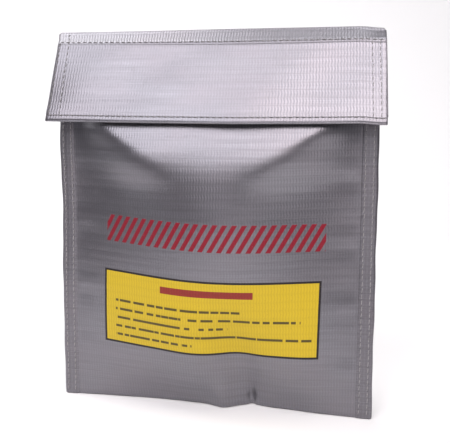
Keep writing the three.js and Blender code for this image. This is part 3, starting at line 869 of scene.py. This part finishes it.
def flap_stitches(low, high, tape_back, thread):
    """Rows along the crease and the free edge, two down each side, and the tape's frame on the inside."""
    strip, bottom = CREASE_LENGTH, FLAP_LENGTH - EDGE_ROW
    column = lambda x, top: row_of_stitches(flap, FRONT, (x[0], top), (x[1], bottom), 0)
    across = lambda s: row_of_stitches(flap, FRONT, (-FLAP_HALF + 0.6, s), (FLAP_HALF - 0.6, s), 0)
    for word, (outer, _) in SIDE_ROWS.items():
        row = column(outer, strip)
        stitches(f"flap_{word}_hem_stitches", [row], thread, "flap", f"flap_{word}_hem_thread")
    inner = [column(SIDE_ROWS["left"][1], 2), column(SIDE_ROWS["right"][1], strip)]
    stitches("flap_needle_stitches", [across(strip), across(bottom), *inner], thread, "flap",
             "hook_tape_needle_thread")
    rows = frame_of_rows(flap, BACK, (low[0] + 1.5, strip + 0.4), (high[0] - 1.5, high[1] - 1.5), -tape_back)
    stitches("flap_bobbin_stitches", rows, thread, "flap", "hook_tape_bobbin_thread")


# ---- Camera, light and floor ---------------------------------------------------------------------------
CAMERA_YAW = math.radians(10.6)
PAPER_HALF, FLOOR_FRONT, FLOOR_BACK, CURVE, WALL_TOP = 0.43, -1.6, 0.45, 0.5, 2.0  # metres


def camera():
    """The camera, in metres, a little to the right and looking down."""
    data = bpy.data.cameras.new("camera")
    data.lens, data.sensor_width = 59.9, 36
    obj = bpy.data.objects.new("camera", data)
    yaw, pitch, roll = CAMERA_YAW, math.radians(-10.6), math.radians(-0.36)
    obj.location = (0.0794, -0.3835 + MIDDLE * MM, 0.1775)
    ahead = Vector((-math.sin(yaw) * math.cos(pitch), math.cos(yaw) * math.cos(pitch), math.sin(pitch)))
    level = ahead.to_track_quat("-Z", "Y").to_matrix()
    obj.rotation_euler = (level @ Matrix.Rotation(roll, 3, "Z")).to_euler()
    bpy.context.scene.collection.objects.link(obj)
    bpy.context.scene.camera = obj


def area_light(name, location, target, size, power, colour=(1, 1, 1)):
    """A rectangular soft box that faces its target, in metres and watts."""
    data = bpy.data.lights.new(name, "AREA")
    data.shape, data.size, data.size_y = "RECTANGLE", *size
    data.energy, data.color = power, colour
    obj = bpy.data.objects.new(name, data)
    obj.location = location
    obj.rotation_euler = (Vector(target) - Vector(location)).to_track_quat("-Z", "Y").to_euler()
    bpy.context.scene.collection.objects.link(obj)


def studio():
    """A pale strip of paper as floor, curve and wall, square to the camera, under soft boxes, in metres."""
    bpy.context.scene.view_settings.view_transform = "Standard"
    world = bpy.data.worlds.new("world")
    bpy.context.scene.world = world
    world.use_nodes = True
    background = world.node_tree.nodes["Background"]
    background.inputs[0].default_value = (0.90, 0.89, 1.0, 1)
    background.inputs[1].default_value = 0.17

    profile = [(FLOOR_FRONT, 0.0), (FLOOR_BACK, 0.0)]
    for angle in np.linspace(0, math.pi / 2, 13)[1:]:
        profile.append((FLOOR_BACK + CURVE * math.sin(angle), CURVE - CURVE * math.cos(angle)))
    profile.append((FLOOR_BACK + CURVE, WALL_TOP))
    cosine, sine = math.cos(CAMERA_YAW), math.sin(CAMERA_YAW)
    points = []
    for y, z in profile:
        for x in (-PAPER_HALF, PAPER_HALF):
            points.append((x * cosine - y * sine, x * sine + y * cosine, z))
    faces = [(2 * i, 2 * i + 1, 2 * i + 3, 2 * i + 2) for i in range(len(profile) - 1)]
    n = Nodes("sweep")
    n.shader.inputs["Base Color"].default_value = (0.83, 0.83, 0.83, 1)
    n.shader.inputs["Roughness"].default_value = 0.9
    sweep = piece("sweep", np.array(points) / MM, faces, n.material)

    area_light("overhead", (0.33, 0, 1.4), (0.33, 0, 0), (0.6, 0.5), 4.2)
    area_light("low", (0.05, -1.4, 0.58), (0, 0, 0.15), (0.8, 0.45), 1.0, (1.0, 0.96, 0.98))
    area_light("window_left", (-0.46, -0.85, 1.07), (-0.44, 0, 0.15), (0.78, 0.86), 9.4, (0.98, 0.965, 1.0))
    area_light("window_right", (0.44, -0.85, 1.07), (0.46, 0, 0.15), (0.78, 0.86), 13.2, (1.0, 0.925, 0.92))
    area_light("wall", (-0.76, 0.3, 1.7), (-0.05, 0.95, 0.35), (1.1, 0.6), 14.5)
    area_light("rim", (-1.0, 0.25, 0.5), (0, 0, 0.15), (0.4, 0.8), 2.0)


def main():
    """Puts the pouch together, each piece in place of the part's nodes that it stands for."""
    camera()
    studio()
    grid = back_grid()
    back_length = path_length(grid)[-1]
    plain = plain_cloth([back_length - FLAP_LENGTH + CREASE_LENGTH, back_length - EDGE_ROW])
    printed, strip = printed_cloth(), binding_cloth()
    # The flap's thread is a darker copy of the seams' thread: painted shade along the flap's rows of
    # stitches.
    pale_thread, thread = thread_material("seam_thread", 0.3), thread_material("flap_thread_with_painted_shade", 0.2)

    front_cloth, front_length = front_sheet(printed)
    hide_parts("front_panel", "base_panel", "mouth_hem")
    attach(front_cloth, "pouch")

    back_cloth = back_sheet(grid, plain)
    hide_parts("back_panel", "flap_cloth")
    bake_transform(back_cloth)

    for side, word in ((-1, "left"), (1, "right")):
        strip_piece = binding(side, f"{word}_binding", strip)
        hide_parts(f"{word}_seam_binding")
        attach(strip_piece, "pouch")
    seam_stitches(pale_thread)
    flap_hems = hems(plain)
    hook_material, loop_material = tape_material("hooks", 0.012), tape_material("loops", 0.016)
    low, high, tape_back = tapes(hook_material, loop_material, thread)
    flap_stitches(low, high, tape_back, thread)


main()
